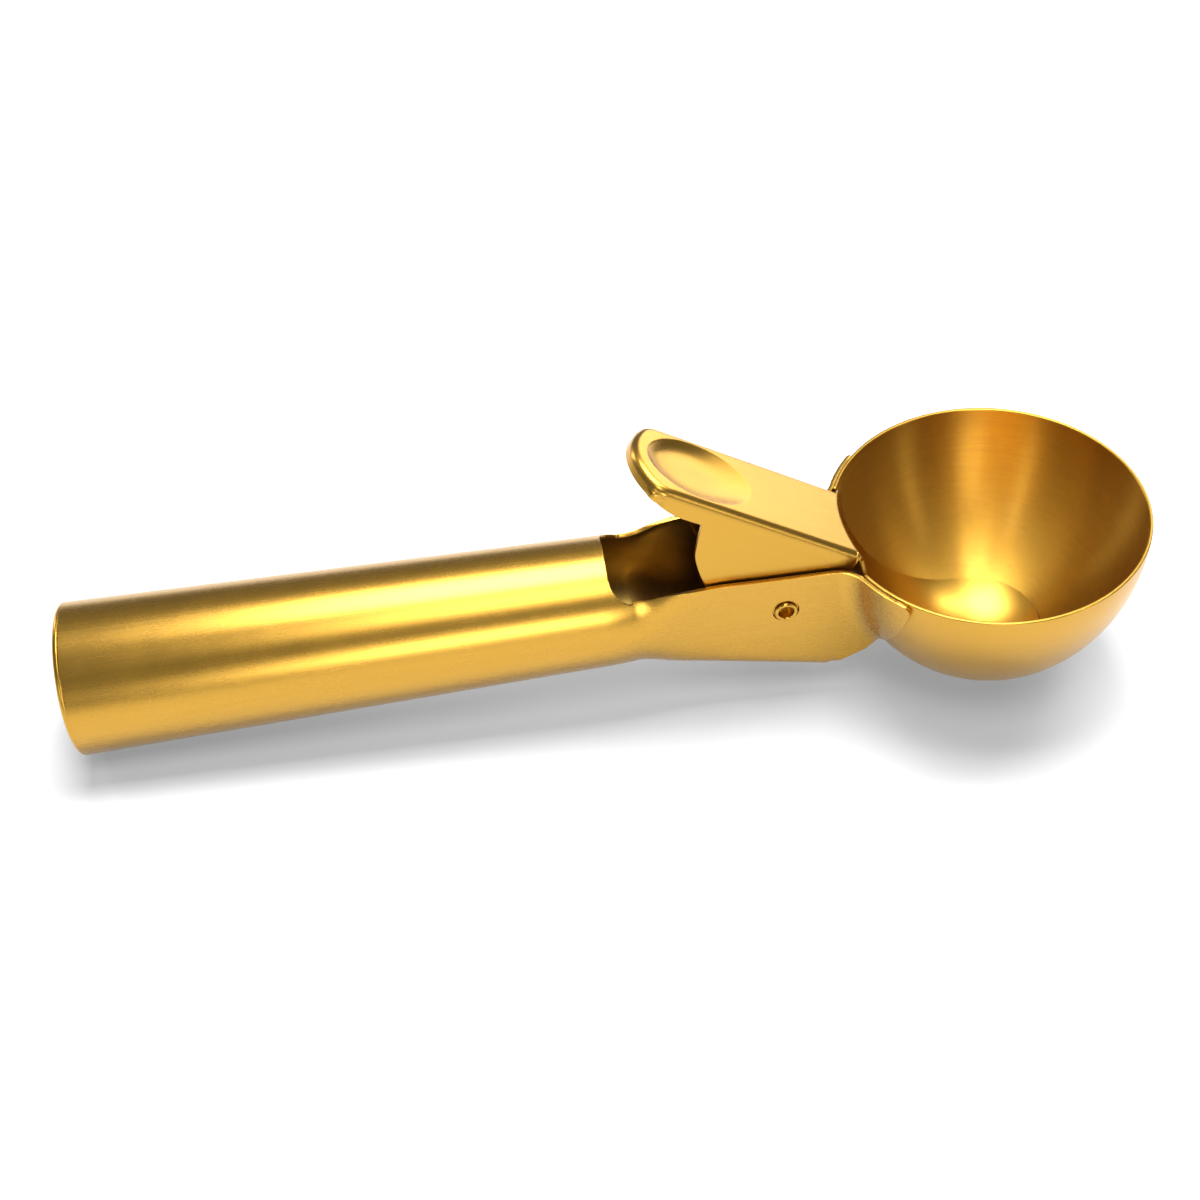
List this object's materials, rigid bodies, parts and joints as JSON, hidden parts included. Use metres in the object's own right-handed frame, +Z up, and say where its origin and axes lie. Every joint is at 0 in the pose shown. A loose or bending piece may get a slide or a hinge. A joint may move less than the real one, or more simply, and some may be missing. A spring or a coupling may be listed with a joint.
{
  "type": "lever ice cream scoop",
  "caption": "Pressed steel ice cream scoop with a round bowl, a tubular handle and a thumb lever whose blade sweeps the bowl.",
  "frame": {"origin": "middle of the bounding box, on the plane that the bowl's bottom and the handle's rear end rest on", "axes": "+X from the handle's rear end to the bowl, +Y across to the left, +Z up out of the bowl"},
  "size_m": [0.2052, 0.06, 0.0576],
  "materials": {
    "gilt_steel": "gold-coloured plated steel, finely brushed on the handle and the lever, spun inside the bowl",
    "plain_steel": "plain drawn steel"
  },
  "bodies": {
    "scoop_body": {"handle": "gilt_steel", "end_cap": "gilt_steel", "bowl": "gilt_steel", "pivot_rivet": "gilt_steel", "pivot_sleeve": "plain_steel", "return_spring": "plain_steel"},
    "lever_body": {"lever": "gilt_steel"}
  },
  "joints": [
    {"name": "lever_pivot", "type": "hinge", "parent": "scoop_body", "child": "lever_body", "pos_m": [0.03184, 0, 0.0242], "axis": [0, -1, 0], "range_deg": [0, 30], "stiffness_Nm_per_rad": 0.3, "springref_deg": -28.65, "deforming": ["return_spring"]}
  ]
}
